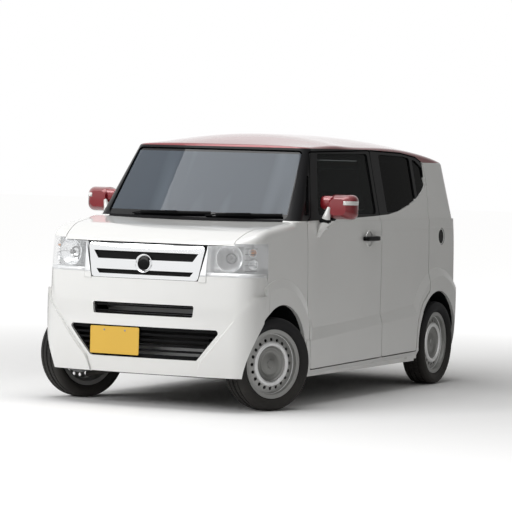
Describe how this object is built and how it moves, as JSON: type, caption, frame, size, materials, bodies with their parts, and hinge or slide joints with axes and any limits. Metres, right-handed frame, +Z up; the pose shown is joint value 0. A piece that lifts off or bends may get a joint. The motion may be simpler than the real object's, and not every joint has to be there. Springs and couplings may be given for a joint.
{
  "type": "kei car",
  "caption": "Small boxy passenger car with hinged side doors, tailgate, bonnet and fuel lid, steered front wheels and freely rolling wheels on steel rims",
  "frame": {"origin": "on the ground, in the middle of the overall length and width", "axes": "+Y towards the rear, +X to the car's left, +Z up"},
  "size_m": [1.87, 3.3953, 1.6707],
  "materials": {
    "white_paint": "pearl white gloss",
    "red_paint": "dark red gloss",
    "black_plastic": "satin black",
    "gloss_black": "gloss black",
    "dark_glass": "dark tinted",
    "clear_glass": "light green tint",
    "lamp_glass": "clear lens over bright reflectors",
    "tail_lamp_red": "red lens",
    "chrome": "bright chrome",
    "plate_yellow": "blank yellow plate",
    "underbody_paint": "black underbody paint",
    "engine_alloy": "cast alloy",
    "exhaust_steel": "dull steel",
    "seat_fabric": "dark woven fabric",
    "trim_plastic": "grained dark trim",
    "cast_iron": "bare casting",
    "tyre_rubber": "matt rubber",
    "wheel_steel": "silver grey paint"
  },
  "bodies": {
    "shell": {"roof_panel": "red_paint", "cowl": "black_plastic", "front_bumper": "white_paint", "rear_bumper": "white_paint", "windscreen": "clear_glass", "chrome_grille": "chrome", "grille_mesh": "black_plastic", "bumper_grilles": "black_plastic", "front_plate": "plate_yellow", "floor_pan": "underbody_paint", "engine": "engine_alloy", "fuel_tank": "black_plastic", "front_frame": "underbody_paint", "rear_axle": "underbody_paint", "exhaust": "exhaust_steel", "seats": "seat_fabric", "dashboard": "trim_plastic", "steering_wheel": "trim_plastic", "wheel_houses": "black_plastic", "fenders": "white_paint", "headlamps": "lamp_glass", "tail_lamps": "tail_lamp_red", "quarter_glass": "clear_glass", "body_side_left": "white_paint", "body_side_right": "white_paint"},
    "front_door_left_body": {"front_door_left": "white_paint", "front_door_glass_left": "clear_glass", "mirror_left": "red_paint"},
    "front_door_right_body": {"front_door_right": "white_paint", "front_door_glass_right": "clear_glass", "mirror_right": "red_paint"},
    "rear_door_left_body": {"rear_door_left": "white_paint", "rear_door_glass_left": "dark_glass"},
    "rear_door_right_body": {"rear_door_right": "white_paint", "rear_door_glass_right": "dark_glass"},
    "tailgate_body": {"tailgate": "white_paint", "tailgate_glass": "dark_glass", "rear_plate": "plate_yellow"},
    "bonnet_body": {"bonnet": "white_paint"},
    "fuel_lid_body": {"fuel_lid": "gloss_black"},
    "steer_left": {"knuckle_left": "cast_iron"},
    "steer_right": {"knuckle_right": "cast_iron"},
    "roll_front_left": {"wheel_front_left": "wheel_steel", "tyre_front_left": "tyre_rubber"},
    "roll_front_right": {"wheel_front_right": "wheel_steel", "tyre_front_right": "tyre_rubber"},
    "roll_rear_left": {"wheel_rear_left": "wheel_steel", "tyre_rear_left": "tyre_rubber"},
    "roll_rear_right": {"wheel_rear_right": "wheel_steel", "tyre_rear_right": "tyre_rubber"}
  },
  "joints": [
    {"name": "steer_left", "type": "hinge", "parent": "shell", "child": "steer_left", "pos_m": [0.6, -1.2625, 0.17], "axis": [-0.1905, 0, 0.9817], "range_deg": [-11, 59]},
    {"name": "steer_right", "type": "hinge", "parent": "shell", "child": "steer_right", "pos_m": [-0.6, -1.2625, 0.17], "axis": [0.1905, 0, 0.9817], "range_deg": [-11, 59]},
    {"name": "roll_front_left", "type": "hinge", "parent": "steer_left", "child": "roll_front_left", "pos_m": [0.6461, -1.29261, 0.281], "axis": [0.9135, -0.4067, 0], "continuous": true},
    {"name": "roll_front_right", "type": "hinge", "parent": "steer_right", "child": "roll_front_right", "pos_m": [-0.6461, -1.23239, 0.281], "axis": [0.9135, -0.4067, 0], "continuous": true},
    {"name": "roll_rear_left", "type": "hinge", "parent": "shell", "child": "roll_rear_left", "pos_m": [0.6525, 1.2575, 0.281], "axis": [1, 0, 0], "continuous": true},
    {"name": "roll_rear_right", "type": "hinge", "parent": "shell", "child": "roll_rear_right", "pos_m": [-0.6525, 1.2575, 0.281], "axis": [1, 0, 0], "continuous": true},
    {"name": "front_door_left", "type": "hinge", "parent": "shell", "child": "front_door_left_body", "pos_m": [0.74, -0.8905, 0.65], "axis": [0, 0, -1], "range_deg": [0, 68]},
    {"name": "rear_door_left", "type": "hinge", "parent": "shell", "child": "rear_door_left_body", "pos_m": [0.74, 0.2665, 0.65], "axis": [0, 0, -1], "range_deg": [0, 70]},
    {"name": "front_door_right", "type": "hinge", "parent": "shell", "child": "front_door_right_body", "pos_m": [-0.74, -0.8905, 0.65], "axis": [0, 0, 1], "range_deg": [0, 68]},
    {"name": "rear_door_right", "type": "hinge", "parent": "shell", "child": "rear_door_right_body", "pos_m": [-0.74, 0.2665, 0.65], "axis": [0, 0, 1], "range_deg": [0, 70]},
    {"name": "tailgate", "type": "hinge", "parent": "shell", "child": "tailgate_body", "pos_m": [0, 1.628, 1.5025], "axis": [1, 0, 0], "range_deg": [0, 80]},
    {"name": "bonnet", "type": "hinge", "parent": "shell", "child": "bonnet_body", "pos_m": [0, -1.058, 1.112], "axis": [-1, 0, 0], "range_deg": [0, 50]},
    {"name": "fuel_lid", "type": "hinge", "parent": "shell", "child": "fuel_lid_body", "pos_m": [0.7125, 1.272, 1.005], "axis": [0, 0, -1], "range_deg": [0, 90]}
  ],
  "couplings": [
    {"joint": "steer_right", "follows": "steer_left", "ratio": 1}
  ]
}
